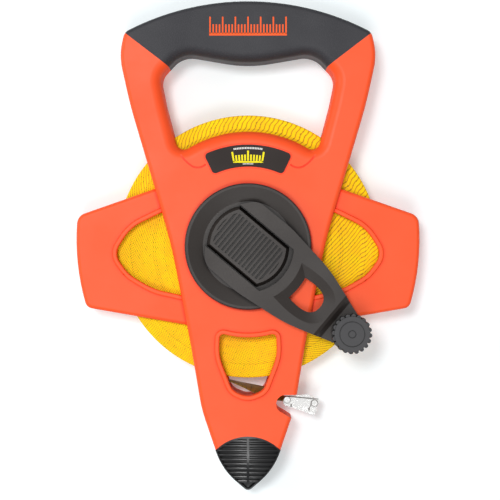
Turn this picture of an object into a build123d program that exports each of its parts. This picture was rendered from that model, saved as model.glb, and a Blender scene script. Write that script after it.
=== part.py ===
from build123d import *
import math
import os

# Open-reel surveyor's tape. The reel axis is the Z axis, the flat back rests on z = 0, +Z points to
# the crank side and +Y to the handle. All sizes are in millimetres.

# ---- driving dimensions: frame ----
DEPTH = 34.0
PARTING_Z = DEPTH / 2
WING_DEPTH = 25.0
SKIN = 3.0
OUTER_ROUND = 2.8
INNER_ROUND = 7.2
WING_ROUND = 2.4
CAVITY_R = 89.5
CAVITY_WIDTH = 17.0
BRIDGE_R = 76.0
LIP_WIDTH = 3.0
LIP_HEIGHT = 1.3
LIP_ROUND = 0.9
GROOVE_WIDTH = 1.2
GROOVE_DEPTH = 0.8
GRIP_SKIN = 3.2
GRIP_FRONT_SKIN = 6.0

# Right-hand halves of the mirror-symmetric outlines: corners (x, y, radius), joined by straight runs.
CROWN = (0, 161.5)
CROWN_R = 173.0
COLUMN_EDGE = [(81.4, 141.4, 7), (84.9, 126, 40), (77.6, 93, 300), (50.9, 3, 400), (37.6, -65, 400),
               (30.6, -107, 90)]
SHOULDER = (79.9, 139.6)
SEAM_LOW = (52.8, 118.9)
BRIDGE_CORNER = (45.6, 60.8, 5.5)
LEG_INNER = [(54.3, 94, 60), (58.0, 112, 11), (43.4, 127.6, 16)]
FINGER_MIDDLE = (0, 120.2, 90)
CORE_EDGE = [(72, 142.2), (77, 136), (76.5, 124), (62, 112), (56.5, 118.8), (45.5, 127.8), (39, 129.8),
             (20, 127.2), (0, 124.6)]
WING_TOP = [(50, 42.2), (112.6, 20.3)]
WING_SIDE = (113.3, -1.0)
WING_CORNERS = (7.5, 5.5)
WING_BOTTOM = [(106.6, -40.3), (36, -52.6)]
SIDE_WINDOW = [(47, 27.3, 3), (77.5, 12.6, 30), (88.6, -5.0, 10), (78.5, -18.8, 25), (62, -28.2, 40),
               (40, -33.1, 3)]
BOTTOM_WINDOW_R = 59.8
BOTTOM_WINDOW_EDGE = [(18.5, -56.9, 2.6), (19.2, -72, 30), (10.4, -94.8, 9), (0, -99.3, 12)]
NOTCH_CENTRE = (24.6, -103.6)
NOTCH_R = 6.1

# ---- driving dimensions: nose cap, label ----
NOSE_TOP = -124.9
NOSE_END = -161.7
NOSE_CORNER = (21.4, -134)
NOSE_RIB_PITCH = 3.1
NOSE_RIB_DEPTH = 0.9
NOSE_RIBS = 10
NOSE_BEAD_R = 1.35
NOSE_EDGE = [(16.2, -147, 50), (0, -163, 3)]
NOSE_BORDER = 1.1
NOSE_BEND_Y = -133.0
NOSE_BEND_R = 38.0
NOSE_RIDGE_HALF = 0.8
NOSE_TONGUE = (10.0, -143.0, 27.0)
LABEL_R = (52.5, 67.0)
LABEL_HALF_ANGLE = 25.6
LABEL_BORDER = 1.0
LABEL_BORDER_DEPTH = 0.35
LABEL_THICKNESS = 0.6
LABEL_CORNER = 2.6
COVE_ARCS = [[(47.6, 70), (44.0, 60), (36.7, 52.8)], [(36.7, 52.8), (32.2, 51.9), (27.8, 54)]]

# ---- driving dimensions: reel ----
TAPE_WIDTH = 13.0
TAPE_THICKNESS = 0.477
LEAD_LENGTH = 47.0
PACK_R = 87.0
CORE_R = 25.0
SPINDLE_R = 4.0
HUB_R = 8.0
RUNNING_GAP = 0.05
LEAD_SLOPE = -17.7
LEAD_GAP = 1.6
LEAD_CHANNEL = (6.4, 15.0)

# ---- driving dimensions: crank ----
CRANK_ANGLE = -40.1
DISC_R = 41.4
DISC_Z = (34.6, 40.6)
DISC_FLOOR_Z = 37.6
DISC_CHAMFER = 0.8
DISC_RIM = 2.2
ARM_TOP_Z = 44.0
ARM_UNDER_Z = 40.8
ARM_END_DROP = 5.0
SLIDE_R = 27.0
SLIDE_HALF_WIDTH = 17.0
SLIDE_TRAVEL = 2.4
SLIDE_TOP_Z = 44.6
LOCK_NOTCHES = 24
LOCK_RING_R = (35.6, 39.0)
LOCK_RING_TOP = 36.2
BOLT_Z = (34.8, 36.4)
KNOB_U = 88.0
KNOB_TIP_R = 13.0
KNOB_ROOT_R = 11.4
KNOB_TEETH = 20
KNOB_Z = (39.6, 54.0)
KNOB_CLEARANCE = 0.2
KNOB_PIN_R = 2.0
KNOB_CAP_R = 8.4
KNOB_GROOVE = 0.7

# ---- driving dimensions: end fitting ----
TAPE_RIVET = (25.9, -101.9)
CLAW_RIVET = (44.2, -104.1)
FITTING_Z = (13.0, 21.0)
FITTING_SHEET = 0.8

FRONT_Z = DEPTH
WING_Z = PARTING_Z + WING_DEPTH / 2
PACK_Z = (PARTING_Z - TAPE_WIDTH / 2, PARTING_Z + TAPE_WIDTH / 2)
DRUM_Z = (PACK_Z[0] - 0.9, PACK_Z[1] + 0.9)
FLANGE_THICKNESS = 0.8
FLANGE_R = 38.0
ANCHOR_R = 1.2
SPINDLE_Z = (3.3, 34.0)
REAR_BUSH_R = 6.0
REAR_BOSS_R = 10.0
REAR_BOSS_Z = 9.0
SCREW_R = 1.5
SCREW_HEAD_R = 3.0
SCREW_HEAD_Z = (0.8, 2.8)
SCREW_END_Z = 25.0
CRANK_SCREW_HEAD_R = 3.2
CRANK_SCREW_Z = 35.4
CRANK_SCREW_DEPTH = 8.0
SLIDE_CLEARANCE = 0.25
DISC_FLAT_R = 29.6
BOLT_HALF_WIDTH = 2.1
BOLT_BODY_HALF = 4.0
BOLT_U = (12.0, 34.6)
STEM_U = (16.0, 20.0)
STEM_HALF = 2.5
SLIDE_RIBS = 16
SPRING_BAY = ((-16.0, -4.0, 37.0), (0.0, 4.0, 40.0))
ARM_SIDE = [(-21.8, 17.6, 0.1), (-14, 27, 11), (14, 27.4, 60), (50, 22.8, 100)]
ARM_END_R = 12.6
ARM_HOLE_WIDE = (36.6, 14.4, (53, 15.2), 69.2)
ARM_HOLE_NARROW = (42.6, 8.4, (52, 8.9), 61.5)
PIN_HEAD_R = 3.6
PIN_HEAD = 1.2
KNOB_TOOTH_R = 1.5
KNOB_SEAT_Z = 51.6
RIVET_R = 1.2
RIVET_HEAD = (2.0, 0.6)
TONGUE_R = 2.1
FITTING_PLATE = [(23.5, -99.7), (47.4, -101.8), (47.4, -103.2), (45.2, -107.2), (45.4, -109.4), (43.9, -112.0),
                 (27.4, -106.4), (23.5, -105.0)]
FITTING_END_R = 2.3
SPINE_SHIFT = (0.0, 0.8)
FITTING_OPEN = [(20, -95), (50, -95), (50, -108.4), (44, -109.4), (38, -107), (28.4, -104), (28.4, -108), (20, -108)]
CLAW_LEAF = [(32.2, -98.9), (36.0, -98.7), (39.3, -98.1), (43.4, -100.3), (46.4, -104.1), (43.2, -106.3),
             (39.0, -101.6), (32.4, -100.8)]
CLAW_HOLLOW = [(30, -99.8), (36, -99.6), (39.2, -99.1), (43, -101.2), (50, -105), (44, -112), (30, -112)]
SCREWS = [(-68.5, 106), (68.5, 106), (-100, -6), (100, -6), (0, -112)]
BOSS_R = 4.6


# ---- helpers ----
def prism(face, low, high):
    return Pos(0, 0, low) * extrude(face, high - low)


def rod(radius, low, high, centre=(0, 0)):
    return Pos(centre[0], centre[1], (low + high) / 2) * Cylinder(radius, high - low)


def tube(outer, inner, low, high, centre=(0, 0)):
    return rod(outer, low, high, centre) - rod(inner, low, high, centre)


def block(low, high):
    size = [b - a for a, b in zip(low, high)]
    return Pos(*[(a + b) / 2 for a, b in zip(low, high)]) * Box(*size)


def both_sides(shape):
    return shape + shape.mirror(Plane.YZ)


def mirrored_outline(edges, right_edges):
    return make_face(edges + right_edges + [edge.mirror(Plane.YZ) for edge in right_edges])


def to_rear(shape):
    return shape.mirror(Plane.XY.offset(PARTING_Z))


def on_crank(shape):
    return Rot(0, 0, CRANK_ANGLE) * shape


def long_profile(points, half_width):
    """A slab across the crank's arm, from a closed profile of (along, height) points."""
    face = Plane.XZ * make_face(Polyline(*points, close=True))
    return extrude(face, half_width, both=True)


# ---- outlines ----
def soften(face, corners, flip=(-1, 1)):
    """Rounds each listed corner (x, y, radius) and its mirror image."""
    for x, y, radius in corners:
        for place in {(x, y), (flip[0] * x, flip[1] * y)}:
            vertex = face.vertices().sort_by_distance(Vector(*place, 0))[0]
            face = fillet(vertex, radius)
    return face


def outer_face():
    points = [corner[:2] for corner in COLUMN_EDGE] + [NOSE_CORNER]
    points[0] = (points[0][0], CROWN[1] - CROWN_R + math.sqrt(CROWN_R**2 - points[0][0]**2))
    crown = ThreePointArc((-points[0][0], points[0][1]), CROWN, points[0])
    nose = ThreePointArc((-NOSE_CORNER[0], NOSE_CORNER[1]), (0, NOSE_TOP), NOSE_CORNER)
    face = mirrored_outline([crown, nose], list(Polyline(*points).edges()))
    return soften(face, COLUMN_EDGE)


def hand_opening_face():
    foot_x = BRIDGE_CORNER[0]
    foot = (foot_x, math.sqrt(BRIDGE_R**2 - foot_x**2))
    bridge = ThreePointArc((-foot[0], foot[1]), (0, BRIDGE_R), foot)
    points = [foot] + [corner[:2] for corner in LEG_INNER + [FINGER_MIDDLE]]
    face = mirrored_outline([bridge], list(Polyline(*points).edges()))
    return soften(face, [BRIDGE_CORNER] + LEG_INNER + [FINGER_MIDDLE])


def grip_region():
    """Everything above the two slanted seams where the grip ends."""
    run = (SHOULDER[0] - SEAM_LOW[0], SHOULDER[1] - SEAM_LOW[1])
    far = (SHOULDER[0] + run[0], SHOULDER[1] + run[1])
    near = (SEAM_LOW[0] - run[0], SEAM_LOW[1] - run[1])
    top = CROWN[1] + 20
    right = [(near[0], near[1]), far, (far[0], top)]
    left = [(-x, y) for x, y in reversed(right)]
    return make_face(Polyline(*right, *left, close=True))


def wing_face():
    top = Line(WING_TOP[0], WING_TOP[1])
    side = ThreePointArc(WING_TOP[1], WING_SIDE, WING_BOTTOM[0])
    bottom = Line(WING_BOTTOM[0], WING_BOTTOM[1])
    back = Line(WING_BOTTOM[1], WING_TOP[0])
    face = make_face([top, side, bottom, back])
    face = fillet(face.vertices().sort_by(Axis.X)[-1:], WING_CORNERS[0])
    lower = face.vertices().sort_by_distance(Vector(*WING_BOTTOM[0], 0))[0]
    return fillet(lower, WING_CORNERS[1])


def side_window_face():
    face = make_face(Polyline(*[corner[:2] for corner in SIDE_WINDOW], close=True))
    for x, y, radius in SIDE_WINDOW:
        face = fillet(face.vertices().sort_by_distance(Vector(x, y, 0))[0], radius)
    return face


def bottom_window_face():
    points = [corner[:2] for corner in BOTTOM_WINDOW_EDGE]
    points[0] = (points[0][0], -math.sqrt(BOTTOM_WINDOW_R**2 - points[0][0]**2))
    top = ThreePointArc((-points[0][0], points[0][1]), (0, -BOTTOM_WINDOW_R), points[0])
    return soften(mirrored_outline([top], list(Polyline(*points).edges())), BOTTOM_WINDOW_EDGE)


def nose_face():
    arc = ThreePointArc((-NOSE_CORNER[0], NOSE_CORNER[1]), (0, NOSE_TOP), NOSE_CORNER)
    points = [NOSE_CORNER] + [corner[:2] for corner in NOSE_EDGE]
    return soften(mirrored_outline([arc], list(Polyline(*points).edges())), NOSE_EDGE)


def notch_face(grow=0.0):
    """Round throat with a mouth that flares down and out through the column's right edge."""
    x, y = NOTCH_CENTRE
    r = NOTCH_R + grow
    mouth = Polyline((x, y + r), (x + 16, y + r), (x + 16, y - 18), (x + 5.2, y - 10.2 - grow),
                     (x - 2.2, y - r + 0.4), close=True)
    return Pos(x, y) * Circle(r) + make_face(mouth)


def label_face(clearance=0.0):
    """Sector of a ring round the reel axis, with rounded corners."""
    inner, outer = LABEL_R[0] + clearance, LABEL_R[1] - clearance
    half = math.radians(LABEL_HALF_ANGLE) - clearance / outer
    low = (inner * math.sin(half), inner * math.cos(half))
    high = (outer * math.sin(half), outer * math.cos(half))
    inside = ThreePointArc((-low[0], low[1]), (0, inner), low)
    outside = ThreePointArc((-high[0], high[1]), (0, outer), high)
    face = mirrored_outline([inside, outside], [Line(low, high)])
    return fillet(face.vertices(), LABEL_CORNER - clearance)


# ---- frame ----
def silhouette_solid():
    """Front half of the whole outline, column and grip in one, with its front edges rounded."""
    solid = prism(outer_face(), PARTING_Z, FRONT_Z)
    top = solid.faces().sort_by(Axis.Z)[-1]
    solid = fillet([edge for edge in top.edges() if edge.center().Y > NOSE_TOP + 5], OUTER_ROUND)
    solid -= prism(hand_opening_face(), PARTING_Z - 1, FRONT_Z + 1)
    top = solid.faces().sort_by(Axis.Z)[-1]
    return fillet(top.inner_wires()[0].edges(), INNER_ROUND)


def handle_core():
    """The bar inside the grip, a grip skin smaller than it, with its roots in the legs."""
    right = list(Polyline(*CORE_EDGE).edges())
    top = ThreePointArc((-CORE_EDGE[0][0], CORE_EDGE[0][1]), (0, CROWN[1] - GRIP_SKIN), CORE_EDGE[0])
    face = mirrored_outline([top], right)
    return prism(face, PARTING_Z, FRONT_Z - GRIP_FRONT_SKIN)


def window_lip(window, face_z):
    """Raised rim with rounded edges round a window, standing LIP_HEIGHT above the face it is on."""
    ring = prism(offset(window, LIP_WIDTH) - window, face_z - SKIN, face_z + LIP_HEIGHT)
    return fillet(ring.faces().sort_by(Axis.Z)[-1].edges(), LIP_ROUND)


def wing_solid():
    outline = wing_face()
    window = side_window_face()
    slab = prism(outline, PARTING_Z, WING_Z)
    top = slab.faces().sort_by(Axis.Z)[-1]
    slab = fillet([edge for edge in top.edges() if edge.center().X > 50], WING_ROUND)
    inside = offset(outline, -SKIN) - Circle(CAVITY_R + SKIN)
    slab -= prism(inside, PARTING_Z - 1, WING_Z - SKIN)
    slab -= prism(window, PARTING_Z - 1, WING_Z + 1)
    return slab + window_lip(window, WING_Z)


def column_pockets():
    """Hollows behind the column's face: one in each leg, one round the hub and one above the nose."""
    face = offset(outer_face() - grip_region(), -SKIN) - offset(hand_opening_face(), SKIN)
    ring = Circle(CAVITY_R + SKIN) - Circle(CAVITY_R)
    pocket = prism(face - ring, PARTING_Z - 1, FRONT_Z - SKIN)
    kept = prism(offset(bottom_window_face(), LIP_WIDTH), PARTING_Z - 1, FRONT_Z)
    return pocket - kept - prism(notch_face(SKIN), PARTING_Z - 1, FRONT_Z)


def lead_channel():
    low, high = PARTING_Z - LEAD_CHANNEL[1] / 2, PARTING_Z + LEAD_CHANNEL[1] / 2
    slot = block((-4, -LEAD_CHANNEL[0] / 2, low), (LEAD_LENGTH + 8, LEAD_CHANNEL[0] / 2, high))
    return lead_place() * slot


def lead_place():
    """Frame of the tape's straight lead: +X along it, from where it leaves the pack."""
    start = (PACK_R + LEAD_GAP) * Vector(0, -1, 0).rotate(Axis.Z, LEAD_SLOPE)
    return Pos(start.X, start.Y, 0) * Rot(0, 0, LEAD_SLOPE)


def nose_tongue():
    half_width, end_y, high = NOSE_TONGUE
    return block((-half_width, end_y, PARTING_Z), (half_width, NOSE_TOP + 6, high))


def frame_half():
    """What the front and rear mouldings share, built as the front one."""
    column = silhouette_solid() - prism(grip_region(), 0, 2 * DEPTH)
    half = column - column_pockets()
    half += handle_core() + both_sides(wing_solid()) + nose_tongue()
    half += prism(offset(bottom_window_face(), LIP_WIDTH), FRONT_Z - SKIN, FRONT_Z)
    for centre in SCREWS:
        half += rod(BOSS_R, PARTING_Z, FRONT_Z - screw_floor(centre) - SKIN / 2, centre)
    half -= rod(CAVITY_R, PARTING_Z - 1, PARTING_Z + CAVITY_WIDTH / 2)
    half -= prism(bottom_window_face(), PARTING_Z - 1, FRONT_Z + 5)
    half -= prism(notch_face(), PARTING_Z - 1, FRONT_Z + 5)
    return half - lead_channel()


def screw_floor(centre):
    """Height of the rear face under a screw: the wings' face is higher than the column's."""
    return DEPTH - WING_Z if abs(centre[0]) > CAVITY_R else 0


def front_frame(half):
    front = half + window_lip(bottom_window_face(), FRONT_Z)
    front += tube(HUB_R + 5, HUB_R + 2, FRONT_Z - 2 * SKIN, FRONT_Z - SKIN)
    front -= rod(HUB_R + 2, PARTING_Z, FRONT_Z + 1)
    front -= prism(label_face(), FRONT_Z - LABEL_THICKNESS, FRONT_Z + 1)
    front -= prism(label_face(-LABEL_BORDER), FRONT_Z - LABEL_BORDER_DEPTH, FRONT_Z + 1)
    for points in COVE_ARCS:
        cove = trace(ThreePointArc(*points), GROOVE_WIDTH)
        front -= both_sides(prism(cove, FRONT_Z - GROOVE_DEPTH, FRONT_Z + 1))
    for centre in SCREWS:
        front -= rod(SCREW_R, PARTING_Z - 1, SCREW_END_Z, centre)
    return front + lock_ring()


def lock_ring():
    """Ring of notches on the front face, under the crank disc, that the lock bolt slides into."""
    ring = tube(LOCK_RING_R[1], LOCK_RING_R[0], FRONT_Z - 0.5, LOCK_RING_TOP)
    slot = block((LOCK_RING_R[0] - 2, -BOLT_HALF_WIDTH - 0.2, FRONT_Z - 1),
                 (LOCK_RING_R[0] + 2.4, BOLT_HALF_WIDTH + 0.2, LOCK_RING_TOP + 1))
    for i in range(LOCK_NOTCHES):
        turned = Rot(0, 0, CRANK_ANGLE + 360 / LOCK_NOTCHES * i) * slot
        ring -= turned & rod(LOCK_RING_R[1] + 1, FRONT_Z, LOCK_RING_TOP + 2)
    return ring


def rear_frame(half):
    rear = to_rear(half)
    rear += rod(REAR_BOSS_R, SKIN - 1, REAR_BOSS_Z)
    rear -= rod(REAR_BUSH_R, SKIN, REAR_BOSS_Z + 1)
    for centre in SCREWS:
        rear -= rod(SCREW_R + 0.2, -1, PARTING_Z + 1, centre)
        rear -= rod(SCREW_HEAD_R + 0.2, -1, SCREW_HEAD_Z[1] + screw_floor(centre), centre)
    return rear


def frame_screws():
    screws = []
    for centre in SCREWS:
        low, high = [z + screw_floor(centre) for z in SCREW_HEAD_Z]
        screw = rod(SCREW_HEAD_R, low, high, centre) + rod(SCREW_R, low, SCREW_END_Z, centre)
        cross = block((-2, -0.4, 0), (2, 0.4, low + 1)) + block((-0.4, -2, 0), (0.4, 2, low + 1))
        screws.append(screw - Pos(centre[0], centre[1], 0) * cross)
    return Compound(screws)


def grip_front():
    grip = silhouette_solid() & prism(grip_region(), 0, 2 * DEPTH)
    return grip - handle_core()


# ---- nose cap ----
def nose_height(y, inset):
    """Height of the nose's front surface, sunk by inset: flat, then one arc down to the tip."""
    run = max(0.0, NOSE_BEND_Y - y)
    return DEPTH - NOSE_BEND_R + math.sqrt((NOSE_BEND_R - inset)**2 - run**2)


def nose_body(inset):
    """Pointed cap whose back and front curve in to the tip."""
    flat = Line((NOSE_TOP + 5, DEPTH - inset), (NOSE_BEND_Y, DEPTH - inset))
    middle, end = (NOSE_BEND_Y + NOSE_END) / 2, NOSE_END - 1
    curve = ThreePointArc(flat @ 1, (middle, nose_height(middle, inset)), (end, nose_height(end, inset)))
    upper = [flat, curve]
    lower = [edge.mirror(Plane.XZ.offset(-PARTING_Z)) for edge in upper]
    closing = [Line(flat @ 0, lower[0] @ 0), Line(curve @ 1, lower[1] @ 1)]
    side = make_face(upper + lower + closing)
    return prism(nose_face(), 0, DEPTH) & extrude(Plane.YZ * side, 40, both=True)


def nose_beads():
    """Half-round ribs across the nose's front, one at each pitch, just under its surface."""
    beads = []
    for i in range(NOSE_RIBS):
        y = NOSE_TOP - NOSE_RIB_PITCH * (i + 1)
        lean = math.asin(max(0.0, NOSE_BEND_Y - y) / NOSE_BEND_R)
        reach = NOSE_BEAD_R + 0.05
        centre = (y + reach * math.sin(lean), nose_height(y, 0) - reach * math.cos(lean))
        beads.append(Pos(0, *centre) * Rot(0, 90, 0) * Cylinder(NOSE_BEAD_R, 60))
    return Compound(beads)


def ground_tip():
    panel = prism(offset(nose_face(), -NOSE_BORDER), -1, DEPTH + 1)
    cap = nose_body(0) - (panel - nose_body(NOSE_RIB_DEPTH))
    beads = nose_beads()
    for bead in beads.solids() + to_rear(beads).solids():
        cap += bead & panel
    ridge = block((-NOSE_RIDGE_HALF, NOSE_END + 2, 0), (NOSE_RIDGE_HALF, NOSE_TOP - 0.2, DEPTH))
    cap += ridge & nose_body(0)
    return cap - nose_tongue() - to_rear(nose_tongue())


# ---- reel ----
def reel_drum():
    drum = tube(CORE_R, CORE_R - 3.5, *DRUM_Z)
    for low in (DRUM_Z[0], DRUM_Z[1] - FLANGE_THICKNESS):
        drum += tube(FLANGE_R, CORE_R - 3.5, low, low + FLANGE_THICKNESS)
    drum += rod(CORE_R - 3, PARTING_Z - 1, PARTING_Z + 1) + rod(HUB_R + 1, *DRUM_Z)
    drum -= rod(SPINDLE_R, 0, FRONT_Z)
    return drum - tape_anchor()


def tape_anchor():
    return rod(ANCHOR_R, *PACK_Z, (CORE_R - 1.5 * ANCHOR_R, 0))


def tape_pack():
    return tube(PACK_R, CORE_R, *PACK_Z)


def spindle_square():
    """The square end of the spindle, which drives the crank's hub."""
    half = 0.7 * SPINDLE_R
    return block((-half, -half, DRUM_Z[1] - 1), (half, half, SPINDLE_Z[1]))


def spindle():
    shaft = rod(SPINDLE_R, SPINDLE_Z[0], DRUM_Z[1]) + spindle_square()
    return shaft - rod(SCREW_R, SPINDLE_Z[1] - CRANK_SCREW_DEPTH, SPINDLE_Z[1] + 1)


def tape_lead():
    """Tape from the pack to the notch, edge-on to the face, ending in a flat tongue for the rivet."""
    edge = (0, -TAPE_THICKNESS / 2, PACK_Z[0])
    strip = lead_place() * block(edge, (LEAD_LENGTH, TAPE_THICKNESS / 2, PACK_Z[1]))
    end = (lead_place() * Pos(LEAD_LENGTH, 0, 0)).position
    x, y = TAPE_RIVET
    near = [(end.X - 0.4, end.Y + 0.2), (end.X - 1.2, end.Y - 2.4)]
    tongue = make_face(Polyline(near[0], (x, y + TONGUE_R), (x, y - TONGUE_R), near[1], close=True))
    tongue += Pos(x, y) * Circle(TONGUE_R)
    tongue -= Pos(x, y) * Circle(RIVET_R + RUNNING_GAP)
    return strip + prism(tongue, PARTING_Z - TAPE_THICKNESS, PARTING_Z + TAPE_THICKNESS)


# ---- crank, lock and knob ----
def dish_solid():
    low, rim = DISC_Z
    edge = [(DISC_R, low), (DISC_R, rim - DISC_CHAMFER), (DISC_R - DISC_CHAMFER, rim)]
    dish = [(DISC_R - DISC_RIM, rim), (DISC_FLAT_R, DISC_FLOOR_Z), (0, DISC_FLOOR_Z)]
    profile = make_face(Polyline((0, low), *edge, *dish, close=True))
    return revolve(Plane.XZ * profile, Axis.Z)


def crank_disc():
    disc = dish_solid() + rod(HUB_R, DRUM_Z[1], DISC_Z[0] + 0.5)
    disc -= tube(LOCK_RING_R[1] + 0.8, LOCK_RING_R[0] - 0.8, DISC_Z[0] - 1, LOCK_RING_TOP + 0.4)
    side = BOLT_BODY_HALF + SLIDE_CLEARANCE
    disc -= block((BOLT_U[0] - 1, -side, DISC_Z[0] - 1), (LOCK_RING_R[0], side, BOLT_Z[1] + SLIDE_CLEARANCE))
    side = STEM_HALF + SLIDE_CLEARANCE
    far = STEM_U[1] + SLIDE_TRAVEL + SLIDE_CLEARANCE
    disc -= block((STEM_U[0] - SLIDE_CLEARANCE, -side, DISC_Z[0]), (far, side, DISC_FLOOR_Z + 1))
    disc -= spindle_square()
    disc -= rod(SCREW_R + 0.1, SPINDLE_Z[1] - 1, DISC_FLOOR_Z + 1)
    disc -= rod(CRANK_SCREW_HEAD_R + 0.1, CRANK_SCREW_Z, DISC_FLOOR_Z + 1)
    return on_crank(disc)


def crank_screw():
    head = rod(CRANK_SCREW_HEAD_R, CRANK_SCREW_Z, DISC_FLOOR_Z - 0.2)
    return head + rod(SCREW_R, SPINDLE_Z[1] - CRANK_SCREW_DEPTH, CRANK_SCREW_Z)


def slide_outline(r, half_width):
    return Circle(r) & Rectangle(4 * r, 2 * half_width)


def arm_face():
    end = (KNOB_U - 4, math.sqrt(ARM_END_R**2 - 16))
    points = [corner[:2] for corner in ARM_SIDE] + [end]
    side = list(Polyline(*points).edges())
    tip = ThreePointArc(end, (KNOB_U + ARM_END_R, 0), (end[0], -end[1]))
    back = Line(points[0], (points[0][0], -points[0][1]))
    face = make_face(side + [tip, back] + [edge.mirror(Plane.XZ) for edge in side])
    return soften(face, ARM_SIDE[1:], (1, -1))


def arm_hole_face(near_r, corner_v, shoulder, far_u):
    """Rounded window in the arm, its near end concentric with the disc."""
    corner = (math.sqrt(near_r**2 - corner_v**2), corner_v)
    near = ThreePointArc((corner[0], -corner_v), (near_r, 0), corner)
    side = Spline([corner, shoulder, (far_u, 0)], tangents=[(1, 0.12), (0, -1)])
    return make_face([near, side, side.mirror(Plane.XZ)])


def crank_arm():
    top, under = ARM_TOP_Z, ARM_UNDER_Z
    low = under - ARM_END_DROP
    seat = KNOB_Z[0] - KNOB_CLEARANCE
    beneath = [(-40, DISC_FLOOR_Z), (DISC_R + 1, DISC_FLOOR_Z), (DISC_R + 1, under), (66, under), (74, low)]
    above = [(110, low), (110, seat), (74.6, seat), (73.2, seat + 1.2), (71.4, top - 1), (69.4, top)]
    arm = prism(arm_face(), DISC_Z[0], top + 1) & long_profile(beneath + above + [(-40, top)], 40)
    slot = slide_outline(SLIDE_R + SLIDE_TRAVEL + 0.5, SLIDE_HALF_WIDTH + 0.6)
    slot += Pos(-SLIDE_R, 0) * Rectangle(2 * SLIDE_R, 2 * SLIDE_HALF_WIDTH + 1.2)
    arm -= prism(slot, DISC_Z[0], top + 1)
    wide = Pos(0, 0, top) * arm_hole_face(*ARM_HOLE_WIDE)
    narrow = Pos(0, 0, under + 0.8) * arm_hole_face(*ARM_HOLE_NARROW)
    arm -= loft([wide, narrow]) + prism(arm_hole_face(*ARM_HOLE_NARROW), DISC_Z[0], under + 1)
    arm -= rod(KNOB_PIN_R, 0, 60, (KNOB_U, 0)) + rod(PIN_HEAD_R, 0, low + PIN_HEAD, (KNOB_U, 0))
    return on_crank(arm - dish_solid())


def knob_pin():
    low = ARM_UNDER_Z - ARM_END_DROP
    pin = rod(KNOB_PIN_R, low, KNOB_SEAT_Z + 0.9, (KNOB_U, 0))
    pin += rod(PIN_HEAD_R, low, low + PIN_HEAD, (KNOB_U, 0))
    return on_crank(pin + rod(PIN_HEAD_R, KNOB_SEAT_Z + 0.1, KNOB_SEAT_Z + 0.9, (KNOB_U, 0)))


def knob():
    body = rod(KNOB_ROOT_R, *KNOB_Z)
    tooth = rod(KNOB_TOOTH_R, KNOB_Z[0] + 2, KNOB_Z[1] - 0.6, (KNOB_TIP_R - KNOB_TOOTH_R, 0))
    for i in range(KNOB_TEETH):
        body += Rot(0, 0, 360 / KNOB_TEETH * i) * tooth
    body -= rod(KNOB_PIN_R + RUNNING_GAP, 0, 60)
    body -= rod(KNOB_CAP_R, KNOB_SEAT_Z, KNOB_Z[1] + 1)
    return on_crank(Pos(KNOB_U, 0, 0) * body)


def knob_cap():
    top = KNOB_Z[1]
    cap = rod(KNOB_CAP_R, KNOB_SEAT_Z + 1.2, top) + tube(KNOB_CAP_R, KNOB_CAP_R - 1.4, KNOB_SEAT_Z, top)
    cap -= tube(KNOB_CAP_R + 1, KNOB_CAP_R - KNOB_GROOVE, top - KNOB_GROOVE, top + 1)
    cap -= tube(KNOB_PIN_R + KNOB_GROOVE, KNOB_PIN_R, top - KNOB_GROOVE, top + 1)
    return on_crank(Pos(KNOB_U, 0, 0) * cap)


def lock_slide():
    """Ribbed thumb block with sloping sides; a stem goes down through the disc to the bolt."""
    base = Pos(0, 0, DISC_FLOOR_Z + 0.1) * slide_outline(SLIDE_R, SLIDE_HALF_WIDTH)
    crown = Pos(0, 0, SLIDE_TOP_Z) * slide_outline(SLIDE_R - 2.2, SLIDE_HALF_WIDTH - 2.2)
    body = loft([base, crown])
    panel = prism(slide_outline(SLIDE_R - 4.2, SLIDE_HALF_WIDTH - 4.2), SLIDE_TOP_Z - 1.2, SLIDE_TOP_Z + 1)
    pitch = 2 * (SLIDE_R - 4.2) / SLIDE_RIBS
    for i in range(SLIDE_RIBS):
        u = -(SLIDE_R - 4.2) + pitch * (i + 0.5)
        panel -= block((u - pitch / 4, -20, 0), (u + pitch / 4, 20, 60))
    body -= panel
    body -= block(SPRING_BAY[0], SPRING_BAY[1])
    stem = block((STEM_U[0], -STEM_HALF, BOLT_Z[1]), (STEM_U[1], STEM_HALF, DISC_FLOOR_Z + 0.5))
    return on_crank(body + stem)


def lock_bolt():
    bolt = block((BOLT_U[0], -BOLT_BODY_HALF, BOLT_Z[0]), (BOLT_U[1] - 7, BOLT_BODY_HALF, BOLT_Z[1]))
    tip = block((BOLT_U[1] - 8, -BOLT_HALF_WIDTH, BOLT_Z[0]), (BOLT_U[1], BOLT_HALF_WIDTH, BOLT_Z[1]))
    return on_crank(bolt + tip)


def detent_spring():
    """Bent leaf on the disc's floor that presses up into a bay under the slide."""
    low, high = DISC_FLOOR_Z, DISC_FLOOR_Z + 1.8
    u0, u1 = SPRING_BAY[0][0] + 3, SPRING_BAY[1][0] - 4
    middle = (u0 + u1) / 2
    profile = [(u0, low), (u0 + 1, low), (middle, high - 0.4), (u1 - 1, low), (u1, low),
               (u1, low + 0.4), (u1 - 0.8, low + 0.4), (middle, high), (u0 + 0.8, low + 0.4), (u0, low + 0.4)]
    return on_crank(long_profile(profile, 3))


# ---- end fitting ----
def fitting_face():
    plate = make_face(Polyline(*FITTING_PLATE, close=True))
    return fillet(plate.vertices().sort_by(Axis.X)[:2], FITTING_END_R)


def end_fitting():
    """Folded channel, open along its upper edge, with a plate each side of the tape's end."""
    low, high = FITTING_Z
    plate = fitting_face()
    shell = prism(plate, low, high)
    inner = plate & (Pos(*SPINE_SHIFT) * plate)
    shell -= prism(inner, low + FITTING_SHEET, high - FITTING_SHEET)
    open_top = make_face(Polyline(*FITTING_OPEN, close=True))
    shell -= prism(open_top, low + FITTING_SHEET, high - FITTING_SHEET)
    for centre in (TAPE_RIVET, CLAW_RIVET):
        shell -= rod(RIVET_R, 0, DEPTH, centre)
    return shell


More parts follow.
